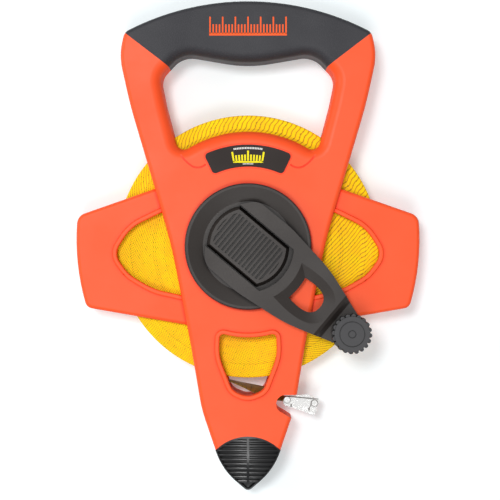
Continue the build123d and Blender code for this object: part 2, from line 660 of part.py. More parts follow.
def rivet(centre):
    low, high = FITTING_Z
    head_r, head = RIVET_HEAD
    pin = rod(RIVET_R, low - head, high + head, centre)
    return pin + rod(head_r, high, high + head, centre) + rod(head_r, low - head, low, centre)


def end_claw():
    """U-shaped leaf folded back over the fitting's upper edge, on the second rivet."""
    low, high = FITTING_Z[0] + FITTING_SHEET + 0.15, FITTING_Z[1] - FITTING_SHEET - 0.15
    leaf = make_face(Polyline(*CLAW_LEAF, close=True)) + Pos(*CLAW_RIVET) * Circle(2.4)
    solid = prism(leaf, low, high)
    inside = make_face(Polyline(*CLAW_HOLLOW, close=True))
    solid -= prism(inside, low + FITTING_SHEET, high - FITTING_SHEET)
    return solid - rod(RIVET_R + RUNNING_GAP, 0, DEPTH, CLAW_RIVET)


# ---- write ----
def build_nodes():
    half = frame_half()
    grip = grip_front()
    return {
        "front_frame": front_frame(half),
        "rear_frame": rear_frame(half),
        "grip_front": grip,
        "grip_rear": to_rear(grip),
        "ground_tip": ground_tip(),
        "label_plate": prism(label_face(0.1), FRONT_Z - LABEL_THICKNESS, FRONT_Z),
        "frame_screws": frame_screws(),
        "front_bushing": tube(HUB_R + 2, HUB_R + RUNNING_GAP, FRONT_Z - 2 * SKIN, FRONT_Z)
        + tube(HUB_R + 5, HUB_R + RUNNING_GAP, FRONT_Z, FRONT_Z + 0.45),
        "rear_bushing": tube(REAR_BUSH_R, SPINDLE_R + RUNNING_GAP, SKIN, REAR_BOSS_Z),
        "thrust_washer": tube(HUB_R, SPINDLE_R + RUNNING_GAP, REAR_BOSS_Z + 0.1, DRUM_Z[0] - 0.1),
        "spindle": on_crank(spindle()),
        "reel_drum": reel_drum(),
        "tape_anchor": tape_anchor(),
        "tape_pack": tape_pack(),
        "tape_lead": tape_lead(),
        "crank_disc": crank_disc(),
        "crank_screw": crank_screw(),
        "crank_arm": crank_arm(),
        "knob_pin": knob_pin(),
        "knob": knob(),
        "knob_cap": knob_cap(),
        "lock_slide": lock_slide(),
        "lock_bolt": lock_bolt(),
        "detent_spring": detent_spring(),
        "end_fitting": end_fitting(),
        "tape_rivet": rivet(TAPE_RIVET),
        "claw_rivet": rivet(CLAW_RIVET),
        "end_claw": end_claw(),
    }


os.makedirs("parts", exist_ok=True)
for name, shape in build_nodes().items():
    export_step(shape, f"parts/{name}.step")
    print(name, round(shape.volume), shape.is_valid)
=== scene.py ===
import math

import bmesh
import bpy
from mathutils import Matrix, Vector, noise


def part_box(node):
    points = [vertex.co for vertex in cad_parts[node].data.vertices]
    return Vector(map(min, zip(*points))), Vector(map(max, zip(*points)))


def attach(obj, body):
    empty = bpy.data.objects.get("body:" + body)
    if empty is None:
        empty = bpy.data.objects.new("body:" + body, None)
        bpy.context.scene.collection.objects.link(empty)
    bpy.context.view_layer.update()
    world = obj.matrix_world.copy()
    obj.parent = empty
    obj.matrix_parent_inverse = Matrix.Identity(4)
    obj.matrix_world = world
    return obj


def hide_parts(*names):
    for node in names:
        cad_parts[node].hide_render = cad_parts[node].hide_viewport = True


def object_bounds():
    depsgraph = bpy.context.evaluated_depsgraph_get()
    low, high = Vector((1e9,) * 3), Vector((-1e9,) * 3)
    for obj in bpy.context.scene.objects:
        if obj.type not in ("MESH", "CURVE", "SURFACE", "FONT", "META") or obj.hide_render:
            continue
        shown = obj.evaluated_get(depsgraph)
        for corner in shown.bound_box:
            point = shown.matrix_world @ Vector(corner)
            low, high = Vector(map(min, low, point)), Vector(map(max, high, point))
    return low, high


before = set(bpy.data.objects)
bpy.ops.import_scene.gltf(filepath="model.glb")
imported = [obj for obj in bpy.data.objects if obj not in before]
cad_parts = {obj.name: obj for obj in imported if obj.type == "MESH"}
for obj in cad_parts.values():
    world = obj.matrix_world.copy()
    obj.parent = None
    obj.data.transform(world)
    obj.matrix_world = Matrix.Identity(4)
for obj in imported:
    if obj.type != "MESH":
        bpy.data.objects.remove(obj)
cad_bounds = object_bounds()

# ---- sizes, in metres ----
MM = 0.001

# The tape and the pack it is wound into. A turn takes up the tape and a little air. The pack's mesh has
# PACK_RINGS over each face, EDGE_STEPS round each edge and PACK_SECTORS round the axis.
TAPE_THICKNESS = 0.477 * MM
TAPE_WIDTH = 13.0 * MM
WOUND_PITCH = 0.485 * MM
PACK_LOW, PACK_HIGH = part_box("tape_pack")
PACK_R = PACK_HIGH.x
CORE_R = 25.0 * MM
PACK_EDGE_ROUND = 0.9 * MM
PACK_RINGS = 130
PACK_SECTORS = 288
EDGE_STEPS = 4

# How far the wound edges stand back: all of them, in bands, in a slow wander and turn by turn. A width is
# across the turns, and a change is how fast the relief varies round the axis.
EDGE_SINK = 0.30 * MM
BAND_WIDTH, BAND_DEPTH, BAND_CHANGE = 3.2 * MM, 0.16 * MM, 0.4
WANDER_WIDTH, WANDER_DEPTH, WANDER_CHANGE = 14.0 * MM, 0.10 * MM, 1.3
TURN_WIDTH, TURN_DEPTH, TURN_CHANGE = 0.9 * MM, 0.09 * MM, 0.3
# Shifts in the noise, so that bands and turns differ, and so that the two faces do.
TURN_SHIFT = 7.0
FACE_SHIFT = 20.0 * MM

# Graduations: a hundredth of a foot apart, printed from one edge of the tape. Each is TICK_SHARE of its
# spacing wide, and the fifths and tenths reach this much further.
TICK_SPACING = 3.048 * MM
TICK_SHARE = 0.13
TICK_REACH = 3.0 * MM
FIFTH_REACH = 2.4 * MM
TENTH_REACH = 6.0 * MM

# The same graduations where they wrap on to the wound edges, as shares of one tick and of ten. Their count
# drifts by TICK_DRIFT each turn, and wanders by up to TENSION_TICKS as the tension changes. A turn whose
# chance is above BOLD_TURNS has dark ink and deeper painted shade in its gaps. Covers are how strongly ink
# darkens the yellow, shades how strongly painted shade darkens it in the gaps between turns, and a face
# steeper than WALL_LEVEL shows the print itself.
EDGE_TICK_SHARE = 0.26
EDGE_TENTH_SHARE = 0.035
TICK_DRIFT = 0.82
TENSION_TICKS = 2.2
TENSION_SCALE = 0.035
BOLD_TURNS = 0.93
INK_COVER, TENTH_COVER = 0.82, 0.4
GAP_SHADE, BOLD_SHADE = 0.06, 0.35
WALL_LEVEL = 0.35

# The straight stretch of tape, from the pack to the fitting's rivet. It leaves the pack at LEAD_SLOPE round
# from straight down, and spans are shares of its length.
LEAD_SLOPE = math.radians(-17.7)
LEAD_START_R = PACK_R + 1.6 * MM
TAPE_RIVET = Vector((25.9 * MM, -101.9 * MM, 17.0 * MM))
RIBBON_STEPS, RIBBON_LANES = 90, 8
RIBBON_TWIST, TWIST_SPAN = math.radians(30), (0.22, 0.85)
RIBBON_NARROWING, NARROWING_SPAN = 0.53, (0.80, 0.97)
RIBBON_SAG = 0.25 * MM
RIBBON_CUP, CUP_MIDDLE = 0.35 * MM, 0.4

# Edge rounds of the carried-over nodes, in mm.
EDGE_ROUND = {
    "front_frame": 0.5, "rear_frame": 0.5, "grip_front": 0.4, "grip_rear": 0.4, "ground_tip": 0.25,
    "crank_disc": 0.5, "crank_arm": 0.7, "lock_slide": 0.3, "knob": 0.5, "knob_cap": 0.25,
    "end_fitting": 0.12, "end_claw": 0.15, "tape_rivet": 0.2, "claw_rivet": 0.2,
}
ROUND_SEGMENTS = 2
ROUND_ANGLE = math.radians(38)

# Print stands a little proud of the surface and is rooted a little under it.
PRINT_PROUD = 0.04 * MM
PRINT_SUNK = 0.05 * MM
FRONT_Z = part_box("label_plate")[1].z

# Label print, in mm from the reel's axis and in steps round it. A rule is its dashes to each side, its two
# radii, and the share of half a step that is left clear before each dash.
LABEL_STEP = math.radians(1.9)
SCALE_STEPS = 5
SCALE_BAR = (55.9, 57.0)
SCALE_TICK_R = 56.4
SCALE_SHORT, SCALE_LONG = 4.0, 6.6
SCALE_TICK_HALF = 0.3
RULE_DASHES = ((9, 64.1, 65.3, 0.12), (4, 54.0, 54.7, 0.10))
DASH_END = 0.8

# Grip print, in mm.
GRIP_TICKS = 12
GRIP_PITCH = 2.08
GRIP_TICK_HALF = 0.5
GRIP_TICK_Y = 140.0
GRIP_SHORT, GRIP_LONG = 6.0, 11.0
GRIP_BAR_HALF = 25.5
GRIP_BAR_Y = (138.6, 140.4)

# Painted shade in the seam and slots of the end fitting's face, in mm; a slot is its middle's x and its
# two ends' y.
SEAM_PATH = ((42.4, -102.6), (41.7, -105.2), (40.6, -107.6))
SEAM_HALF = 0.16
SLOTS = ((28.6, -106.5, -104.5), (40.5, -109.0, -107.4))
SLOT_HALF = 0.35

# Stage and camera. The sky's strength rises between two heights, where straight up is 1, and the view is
# VIEW_WIDTH wide at the label's height.
FLOOR_REACH = 12.0
FLOOR_GAP = 0.2 * MM
FLOOR_GLOW = 0.20
SKY_HEIGHTS, SKY_STRENGTHS = (0.72, 0.97), (0.22, 0.74)
CAMERA_HEIGHT = 1.1
CAMERA_X, CAMERA_Y = 1.3 * MM, -2.3 * MM
CAMERA_NEAR, CAMERA_FAR = 0.05, 10.0
VIEW_WIDTH = 0.3285
SENSOR_MM = 36.0

# The Mix node's sockets for colours, which share their names with those for numbers.
MIX_FIRST, MIX_SECOND, MIX_RESULT = 6, 7, 2

# Noise scales, in features a metre, and how close walls have to be for painted shade between them.
FLOW_SCALE = 28.0
SCUFF_SCALE, SCUFF_STRETCH = 260.0, (1.0, 6.0, 1.0)
PEBBLE_SCALE, WORN_SCALE = 1500.0, 40.0
BRUSH_SCALE, SPOT_SCALE = 420.0, 160.0
PATCH_SCALE = 90.0
WEAVE_SCALE, DARK_PATCH_SCALE = 1100.0, 120.0
PLASTIC_SHADE_REACH, METAL_SHADE_REACH = 2.6 * MM, 1.2 * MM
SHADE_SAMPLES = 8
SMOOTHER, ROUGHER = 0.04, 0.05


# ---- node helpers ----
class Tree:
    """A material's node tree, with short calls for the nodes that the finishes here share."""

    def __init__(self, name):
        self.material = bpy.data.materials.new(name)
        self.material.use_nodes = True
        self.nodes = self.material.node_tree.nodes
        self.links = self.material.node_tree.links
        self.shader = self.nodes["Principled BSDF"]
        self.place = self.nodes.new("ShaderNodeTexCoord").outputs["Object"]

    def plug(self, value, socket):
        if isinstance(value, bpy.types.NodeSocket):
            self.links.new(value, socket)
        else:
            socket.default_value = value

    def math(self, operation, a, b=0.0):
        node = self.nodes.new("ShaderNodeMath")
        node.operation = operation
        for value, socket in zip((a, b), node.inputs):
            self.plug(value, socket)
        return node.outputs[0]

    def split(self, vector):
        node = self.nodes.new("ShaderNodeSeparateXYZ")
        self.links.new(vector, node.inputs[0])
        return node.outputs["X"], node.outputs["Y"], node.outputs["Z"]

    def noise(self, scale, detail=2.0, stretch=None):
        node = self.nodes.new("ShaderNodeTexNoise")
        node.inputs["Scale"].default_value = scale
        node.inputs["Detail"].default_value = detail
        vector = self.place
        if stretch:
            mapping = self.nodes.new("ShaderNodeMapping")
            mapping.inputs["Scale"].default_value = stretch
            self.links.new(vector, mapping.inputs["Vector"])
            vector = mapping.outputs[0]
        self.links.new(vector, node.inputs["Vector"])
        return node.outputs["Fac"]

    def noise_along(self, value, scale):
        """Noise that changes along one value only."""
        node = self.nodes.new("ShaderNodeTexNoise")
        node.noise_dimensions = "1D"
        node.inputs["Scale"].default_value = scale
        self.links.new(value, node.inputs["W"])
        return node.outputs["Fac"]

    def random(self, value):
        """A number from 0 to 1 for each whole value."""
        node = self.nodes.new("ShaderNodeTexWhiteNoise")
        node.noise_dimensions = "1D"
        self.links.new(value, node.inputs["W"])
        return node.outputs["Value"]

    def ramp(self, value, low, high, to_low=0.0, to_high=1.0):
        node = self.nodes.new("ShaderNodeMapRange")
        node.inputs["From Min"].default_value = low
        node.inputs["From Max"].default_value = high
        node.inputs["To Min"].default_value = to_low
        node.inputs["To Max"].default_value = to_high
        self.links.new(value, node.inputs["Value"])
        return node.outputs["Result"]

    def blend(self, share, first, second):
        node = self.nodes.new("ShaderNodeMix")
        node.data_type = "RGBA"
        self.plug(share, node.inputs["Factor"])
        self.plug(first, node.inputs[MIX_FIRST])
        self.plug(second, node.inputs[MIX_SECOND])
        return node.outputs[MIX_RESULT]

    def painted_shade(self, reach):
        """Painted-shade mask: 1 on open surface, falling towards 0 in corners and grooves closer than reach.
        """
        node = self.nodes.new("ShaderNodeAmbientOcclusion")
        node.samples = SHADE_SAMPLES
        node.inputs["Distance"].default_value = reach
        return node.outputs["AO"]

    def level(self):
        """1 where the surface lies flat, 0 on an upright wall."""
        normal = self.nodes.new("ShaderNodeNewGeometry").outputs["Normal"]
        return self.math("ABSOLUTE", self.split(normal)[2])

    def crown(self, half_width, lean):
        """Height of a surface crowned across X, that leans by this slope at the half width."""
        x = self.split(self.place)[0]
        return self.math("MULTIPLY", self.math("MULTIPLY", x, x), -lean / (2 * half_width))

    def uneven(self, value, roughness):
        """Roughness that wanders a little below and above its middle as value does."""
        return self.ramp(value, 0.3, 0.7, roughness - SMOOTHER, roughness + ROUGHER)

    def bump(self, height, distance, strength=1.0, under=None):
        node = self.nodes.new("ShaderNodeBump")
        node.inputs["Distance"].default_value = distance
        node.inputs["Strength"].default_value = strength
        self.links.new(height, node.inputs["Height"])
        if under:
            self.links.new(under, node.inputs["Normal"])
        return node.outputs["Normal"]

    def finish(self, colour, roughness, normal=None, **inputs):
        self.plug(colour, self.shader.inputs["Base Color"])
        self.plug(roughness, self.shader.inputs["Roughness"])
        if normal:
            self.links.new(normal, self.shader.inputs["Normal"])
        for name, value in inputs.items():
            self.plug(value, self.shader.inputs[name.replace("_", " ")])
        return self.material


def rgb(r, g, b):
    return (r, g, b, 1.0)


# ---- materials ----
INK = rgb(0.03, 0.02, 0.015)


def moulded_plastic(name, colour, deep, roughness, grain, grain_depth, shine=0.3, painted_shade=None, crown=None):
    """Injection-moulded plastic: fine grain, faint flow mottling, uneven gloss and less sheen on walls.

    Its corners and grooves get painted shade in the colour given for them, and crown is the (half width,
    lean) of a domed face."""
    tree = Tree(name)
    fine = tree.noise(grain, 3.0)
    flow = tree.noise(FLOW_SCALE, 4.0)
    base = tree.blend(tree.ramp(flow, 0.35, 0.7, 0.0, 0.45), colour, deep)
    if painted_shade:
        # Painted shade: corners and grooves darken towards the shade colour as the occlusion falls.
        base = tree.blend(tree.ramp(tree.painted_shade(PLASTIC_SHADE_REACH), 0.5, 0.97), painted_shade, base)
    scuffs = tree.noise(SCUFF_SCALE, 5.0, SCUFF_STRETCH)
    gloss = tree.math("ADD", tree.uneven(flow, roughness), tree.ramp(scuffs, 0.58, 0.78, 0.0, 0.08))
    sheen = tree.ramp(tree.level(), 0.1, 0.5, 0.1 * shine, shine)
    under = tree.bump(tree.crown(*crown), 1.0) if crown else None
    grained = tree.bump(fine, grain_depth, 0.6, under)
    return tree.finish(base, gloss, grained, Specular_IOR_Level=sheen)


def grip_rubber():
    """Soft overmould with an open matt grain and dust-grey high spots."""
    tree = Tree("grip_rubber")
    pebble = tree.noise(PEBBLE_SCALE, 2.0)
    patched = tree.noise(WORN_SCALE, 3.0)
    base = tree.blend(tree.ramp(pebble, 0.45, 0.75), rgb(0.034, 0.034, 0.039), rgb(0.052, 0.051, 0.058))
    gloss = tree.ramp(patched, 0.3, 0.7, 0.5, 0.62)
    return tree.finish(base, gloss, tree.bump(pebble, 0.12 * MM, 0.7), Specular_IOR_Level=0.25)


def metal(name, colour, roughness, brush):
    """Stamped or turned metal with fine drawn lines, a few rubbed spots and painted shade in its corners."""
    tree = Tree(name)
    lines = tree.noise(BRUSH_SCALE, 4.0, brush)
    spots = tree.noise(SPOT_SCALE, 4.0)
    rubbed = rgb(*[0.75 * c for c in colour[:3]])
    base = tree.blend(tree.ramp(spots, 0.5, 0.75, 0.0, 0.3), colour, rubbed)
    # Painted shade: corners and the rims round rivet heads darken to dark brown.
    base = tree.blend(tree.ramp(tree.painted_shade(METAL_SHADE_REACH), 0.62, 0.97), rgb(0.05, 0.03, 0.02), base)
    gloss = tree.math("ADD", tree.uneven(lines, roughness), tree.ramp(spots, 0.55, 0.8, 0.0, 0.06))
    return tree.finish(base, gloss, tree.bump(lines, 0.004 * MM, 0.15), Metallic=1.0)


def spiral_place(tree, x, y):
    """A point's turn, how far through that turn's thickness it is, and the turns wound so far."""
    radius = tree.math("SQRT", tree.math("ADD", tree.math("MULTIPLY", x, x), tree.math("MULTIPLY", y, y)))
    around = tree.math("FRACT", tree.math("DIVIDE", tree.math("ARCTAN2", y, x), 2 * math.pi))
    raw = tree.math("DIVIDE", tree.math("SUBTRACT", radius, CORE_R), WOUND_PITCH)
    wound = tree.math("SUBTRACT", raw, around)
    turn = tree.math("FLOOR", wound)
    return turn, tree.math("FRACT", wound), tree.math("ADD", turn, around)


def spiral_length(tree, turns):
    """Length of tape in this many turns, from the core out."""
    grown = tree.math("MULTIPLY", tree.math("MULTIPLY", turns, turns), WOUND_PITCH / 2)
    return tree.math("MULTIPLY", tree.math("ADD", tree.math("MULTIPLY", turns, CORE_R), grown), 2 * math.pi)


def edge_ticks(tree, length, turns):
    """Count of ticks up to a point of the wound edges, which drifts as no turn is wound quite alike."""
    slack = tree.math("MULTIPLY", tree.noise_along(turns, TENSION_SCALE), TENSION_TICKS)
    ticks = tree.math("ADD", tree.math("DIVIDE", length, TICK_SPACING), slack)
    return tree.math("ADD", ticks, tree.math("MULTIPLY", turns, TICK_DRIFT))


def wound_tape():
    """Edges of the wound tape: one edge per turn, with the printed ticks wrapping on to it.

    A point's turn count gives its length along the spiral, and the ticks fall on that length."""
    tree = Tree("wound_tape")
    x, y, z = tree.split(tree.place)
    turn, inside, turns = spiral_place(tree, x, y)
    length = spiral_length(tree, turns)
    ticks = edge_ticks(tree, length, turns)
    tick = tree.math("LESS_THAN", tree.math("FRACT", ticks), EDGE_TICK_SHARE)
    tenth = tree.math("LESS_THAN", tree.math("FRACT", tree.math("DIVIDE", ticks, 10.0)), EDGE_TENTH_SHARE)
    chance = tree.random(turn)
    bold = tree.math("GREATER_THAN", chance, BOLD_TURNS)
    ridge = tree.math("PINGPONG", inside, 0.5)
    patchy = tree.noise(PATCH_SCALE, 3.0)
    yellow = tree.blend(tree.ramp(patchy, 0.35, 0.65), rgb(1.0, 0.63, 0.001), rgb(1.0, 0.74, 0.002))
    yellow = tree.blend(tree.ramp(chance, 0.0, 1.0, 0.0, 0.3), yellow, rgb(1.0, 0.50, 0.003))
    # Painted shade in the gaps between turns, deeper on the bold turns.
    shade = tree.math("ADD", GAP_SHADE, tree.math("MULTIPLY", bold, BOLD_SHADE))
    shade = tree.math("MULTIPLY", tree.ramp(ridge, 0.06, 0.3, 1.0, 0.0), shade)
    gap = tree.blend(shade, yellow, rgb(0.22, 0.08, 0.005))
    ink = tree.blend(bold, rgb(0.52, 0.21, 0.010), rgb(0.10, 0.05, 0.012))
    inked = tree.blend(tree.math("MULTIPLY", tick, INK_COVER), gap, ink)
    edge = tree.blend(tree.math("MULTIPLY", tenth, TENTH_COVER), inked, rgb(0.05, 0.025, 0.012))
    wall = tree.math("LESS_THAN", tree.level(), WALL_LEVEL)
    count = tree.math("DIVIDE", length, TICK_SPACING)
    face = tree.blend(printed_ticks(tree, count, tree.math("SUBTRACT", PACK_HIGH.z, z)), yellow, INK)
    gloss = tree.ramp(patchy, 0.3, 0.7, 0.46, 0.58)
    ridged = tree.bump(ridge, 0.10 * MM, 0.35)
    return tree.finish(tree.blend(wall, edge, face), gloss, ridged, Specular_IOR_Level=0.1)


def printed_ticks(tree, ticks, from_edge):
    """1 where a graduation is printed: a short one each tick, longer at five and nearly across at ten."""
    fine = tree.math("LESS_THAN", tree.math("FRACT", ticks), TICK_SHARE)
    reach = tree.math("ADD", TICK_REACH, tree.math("MULTIPLY", FIFTH_REACH, every(tree, ticks, 5.0)))
    reach = tree.math("ADD", reach, tree.math("MULTIPLY", TENTH_REACH, every(tree, ticks, 10.0)))
    return tree.math("MULTIPLY", fine, tree.math("LESS_THAN", from_edge, reach))


def every(tree, ticks, count):
    """1 on the first of each count of ticks."""
    return tree.math("LESS_THAN", tree.math("FRACT", tree.math("DIVIDE", ticks, count)), 1.0 / count)


def tape_face():
    """The flat of the tape where it runs to the notch: weave with ticks along one edge.

    Its yellow is painted dark olive-brown as painted shade, and darker still in random patches.
    """
    tree = Tree("tape_face")
    place = tree.nodes.new("ShaderNodeAttribute")
    place.attribute_name = "along_across"
    along, across, _ = tree.split(place.outputs["Vector"])
    weave = tree.noise(WEAVE_SCALE, 2.0)
    count = tree.math("DIVIDE", along, TICK_SPACING)
    ticks = printed_ticks(tree, count, tree.math("SUBTRACT", TAPE_WIDTH / 2, across))
    # Painted shade: this stretch of yellow tape is coloured dark olive-brown, as it lies in shadow.
    base = tree.blend(tree.ramp(weave, 0.4, 0.7), rgb(0.20, 0.13, 0.02), rgb(0.30, 0.20, 0.03))
    dark_patches = tree.ramp(tree.noise(DARK_PATCH_SCALE, 4.0), 0.55, 0.8, 0.0, 0.5)
    patched = tree.blend(dark_patches, base, rgb(0.08, 0.05, 0.02))
    return tree.finish(tree.blend(ticks, patched, INK), 0.42, tree.bump(weave, 0.05 * MM, 0.5))


# The colours for corners and grooves below are painted shade; the orange frame's deep red is painted shade
# together with painted light bounced between its orange walls.
ORANGE = moulded_plastic(
    "orange_plastic", rgb(1.0, 0.104, 0.026), rgb(0.97, 0.088, 0.018), roughness=0.42,
    grain=1900.0, grain_depth=0.05 * MM, shine=0.22, painted_shade=rgb(0.95, 0.030, 0.001))
BLACK = moulded_plastic(
    "black_plastic", rgb(0.035, 0.029, 0.026), rgb(0.025, 0.020, 0.018), roughness=0.46,
    grain=1700.0, grain_depth=0.10 * MM, painted_shade=rgb(0.010, 0.008, 0.007))
KNOB = moulded_plastic(
    "knob_plastic", rgb(0.040, 0.039, 0.042), rgb(0.030, 0.030, 0.033), roughness=0.4,
    grain=1500.0, grain_depth=0.06 * MM, shine=0.35, painted_shade=rgb(0.008, 0.008, 0.009))
GLOSS = moulded_plastic(
    "gloss_black", rgb(0.008, 0.008, 0.009), rgb(0.012, 0.012, 0.013), roughness=0.33,
    grain=500.0, grain_depth=0.006 * MM, shine=0.7, painted_shade=rgb(0.003, 0.003, 0.003), crown=(22 * MM, 0.5))
LABEL = moulded_plastic(
    "label_print", rgb(0.034, 0.026, 0.024), rgb(0.026, 0.020, 0.018), roughness=0.5,
    grain=1200.0, grain_depth=0.02 * MM, shine=0.12)
PRINT_YELLOW = moulded_plastic(
    "label_yellow", rgb(0.95, 0.82, 0.0), rgb(0.90, 0.74, 0.0), roughness=0.4,
    grain=1500.0, grain_depth=0.01 * MM, shine=0.15)
PRINT_WHITE = moulded_plastic(
    "label_white", rgb(0.8, 0.78, 0.75), rgb(0.7, 0.68, 0.65), roughness=0.4,
    grain=1500.0, grain_depth=0.01 * MM)
PRINT_ORANGE = moulded_plastic(
    "grip_print", rgb(0.95, 0.12, 0.022), rgb(0.80, 0.10, 0.02), roughness=0.5,
    grain=1500.0, grain_depth=0.03 * MM, shine=0.15)
ACETAL = moulded_plastic(
    "acetal", rgb(0.75, 0.74, 0.71), rgb(0.68, 0.67, 0.64), roughness=0.35,
    grain=800.0, grain_depth=0.02 * MM)
RUBBER = grip_rubber()
# Painted shade for the fitting's seam and slots.
SEAM_SHADE = moulded_plastic(
    "seam_painted_shade", rgb(0.05, 0.03, 0.02), rgb(0.03, 0.02, 0.012), roughness=0.6,
    grain=1500.0, grain_depth=0.01 * MM)
STEEL = metal("bright_steel", rgb(0.88, 0.875, 0.86), roughness=0.13, brush=(1.0, 9.0, 1.0))
ZINC = metal("zinc_steel", rgb(0.6, 0.6, 0.6), roughness=0.32, brush=(6.0, 6.0, 1.0))
WOUND = wound_tape()
TAPE = tape_face()

NODE_FINISH = {
    "front_frame": ORANGE, "rear_frame": ORANGE, "grip_front": RUBBER, "grip_rear": RUBBER,
    "ground_tip": GLOSS, "label_plate": LABEL, "frame_screws": ZINC, "front_bushing": ACETAL,
    "rear_bushing": ACETAL, "thrust_washer": ACETAL, "spindle": ZINC, "reel_drum": BLACK,
    "tape_anchor": ZINC, "tape_pack": WOUND, "tape_lead": TAPE, "crank_disc": BLACK,
    "crank_screw": ZINC, "crank_arm": BLACK, "knob_pin": ZINC, "knob": KNOB, "knob_cap": KNOB,
    "lock_slide": BLACK, "lock_bolt": ZINC, "detent_spring": ZINC, "end_fitting": STEEL,
    "tape_rivet": STEEL, "claw_rivet": STEEL, "end_claw": STEEL,
}


def finish_cad_nodes():
    """Gives each carried-over node its material, and those in EDGE_ROUND a small bevel on sharp edges."""
    for name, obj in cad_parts.items():
        for slot in obj.material_slots:
            slot.link = "OBJECT"
            slot.material = NODE_FINISH[name]
        if name in EDGE_ROUND:
            bevel = obj.modifiers.new("edge_round", "BEVEL")
            bevel.width = EDGE_ROUND[name] * MM
            bevel.segments = ROUND_SEGMENTS
            bevel.limit_method = "ANGLE"
            bevel.angle_limit = ROUND_ANGLE
            bevel.harden_normals = True


# ---- made pieces ----
def add_piece(name, bm, material, body, smooth=True):
    """Makes the built mesh a piece that rides on a body, with its normals turned outwards."""
    bmesh.ops.recalc_face_normals(bm, faces=bm.faces)
    mesh = bpy.data.meshes.new(name)
    bm.to_mesh(mesh)
    bm.free()
    for polygon in mesh.polygons:
        polygon.use_smooth = smooth
    mesh.materials.append(material)
    piece = bpy.data.objects.new(name, mesh)
    bpy.context.collection.objects.link(piece)
    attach(piece, body)
    return piece


def pack_profile():
    """(radius, drop) of half the wound tape's section: over its face from the core, and round its edge."""
    flat = PACK_R - PACK_EDGE_ROUND - CORE_R
    points = [(CORE_R + flat * i / PACK_RINGS, 0.0) for i in range(PACK_RINGS + 1)]
    for i in range(1, EDGE_STEPS + 1):
        a = math.pi / 2 * i / EDGE_STEPS
        points.append((PACK_R - PACK_EDGE_ROUND * (1 - math.sin(a)), PACK_EDGE_ROUND * (1 - math.cos(a))))
    return points


def layer_relief(radius, angle):
    """How far the tape's edge stands back at a point of the pack's face."""
    x, y = math.cos(angle), math.sin(angle)
    band = noise.noise(Vector((radius / BAND_WIDTH, BAND_CHANGE * x, BAND_CHANGE * y)))
    wander = noise.noise(Vector((radius / WANDER_WIDTH, x, y)) * WANDER_CHANGE)
    turn = noise.noise(Vector((radius / TURN_WIDTH, TURN_SHIFT + TURN_CHANGE * x, TURN_CHANGE * y)))
    return EDGE_SINK + BAND_DEPTH * band + WANDER_DEPTH * wander + TURN_DEPTH * turn


def wound_pack():
    """The wound tape: its section carried round the reel's axis, with its own relief on each face."""
    bm = bmesh.new()
    half = pack_profile()
    rings = []
    for side, face, profile in ((1, PACK_HIGH.z, half), (-1, PACK_LOW.z, half[::-1])):
        for radius, drop in profile:
            ring = []
            for i in range(PACK_SECTORS):
                a = 2 * math.pi * i / PACK_SECTORS
                relief = EDGE_SINK if drop else layer_relief(radius + side * FACE_SHIFT, a)
                z = face - side * (drop + relief)
                ring.append(bm.verts.new((radius * math.cos(a), radius * math.sin(a), z)))
            rings.append(ring)
    for first, second in zip(rings, rings[1:] + rings[:1]):
        for i in range(PACK_SECTORS):
            j = (i + 1) % PACK_SECTORS
            bm.faces.new((first[i], second[i], second[j], first[j]))
    piece = add_piece("wound_tape", bm, WOUND, "reel")
    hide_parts("tape_pack")


def smooth_step(value, low, high):
    t = min(1.0, max(0.0, (value - low) / (high - low)))
    return t * t * (3 - 2 * t)


def tape_ribbon():
    """The tape from the pack to its fitting: edge-on at first, then turning to show its flat side."""
    start = Vector((math.sin(LEAD_SLOPE), -math.cos(LEAD_SLOPE), 0.0)) * LEAD_START_R
    start.z = TAPE_RIVET.z
    run = TAPE_RIVET - start
    along = run.normalized()
    side = Vector((-along.y, along.x, 0.0))
    bm = bmesh.new()
    coordinate = bm.verts.layers.float_vector.new("along_across")
    rows = []
    for i in range(RIBBON_STEPS + 1):
        share = i / RIBBON_STEPS
        twist = RIBBON_TWIST * smooth_step(share, *TWIST_SPAN)
        width = TAPE_WIDTH * (1 - RIBBON_NARROWING * smooth_step(share, *NARROWING_SPAN))
        across = Vector((0, 0, 1)) * math.cos(twist) - side * math.sin(twist)
        outward = along.cross(across)
        middle = start + run * share + side * RIBBON_SAG * math.sin(math.pi * share)
        row = []
        for face in (1, -1):
            for j in range(RIBBON_LANES + 1):
                v = (2 * j / RIBBON_LANES - 1) * face
                cup = RIBBON_CUP * (v * v - CUP_MIDDLE)
                place = middle + across * (v * width / 2) + outward * (cup + face * TAPE_THICKNESS / 2)
                vert = bm.verts.new(place)
                vert[coordinate] = (share * run.length, v * TAPE_WIDTH / 2, face)
                row.append(vert)
        rows.append(row)
    count = len(rows[0])
    for first, second in zip(rows, rows[1:]):
        for j in range(count):
            k = (j + 1) % count
            bm.faces.new((first[j], first[k], second[k], second[j]))
    bm.faces.new(rows[0][::-1])
    bm.faces.new(rows[-1])
    piece = add_piece("tape_ribbon", bm, TAPE, "frame")
    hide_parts("tape_lead")


# ---- print ----
def straight(x, y):
    return x, y


def round_axis(radius, angle):
    return radius * math.sin(angle), radius * math.cos(angle)


def from_line(start, end):
    """The line's length, and a place function that runs along the line and to its left."""
    run = math.hypot(end[0] - start[0], end[1] - start[1])
    ux, uy = (end[0] - start[0]) / run, (end[1] - start[1]) / run

    def along(a, b):
        return start[0] + a * ux - b * uy, start[1] + a * uy + b * ux

    return run, along


def print_bar(bm, place, low, high, top=FRONT_Z):
    """A flat printed bar on the surface at top; place turns its own two coordinates into (x, y) in mm."""
    corners = []
    for z in (top - PRINT_SUNK, top + PRINT_PROUD):
        for a, b in ((low[0], low[1]), (high[0], low[1]), (high[0], high[1]), (low[0], high[1])):
            x, y = place(a, b)
            corners.append(bm.verts.new((x * MM, y * MM, z)))
    for face in ((0, 1, 2, 3), (4, 5, 6, 7), (0, 1, 5, 4), (1, 2, 6, 5), (2, 3, 7, 6), (3, 0, 4, 7)):
        bm.faces.new([corners[i] for i in face])


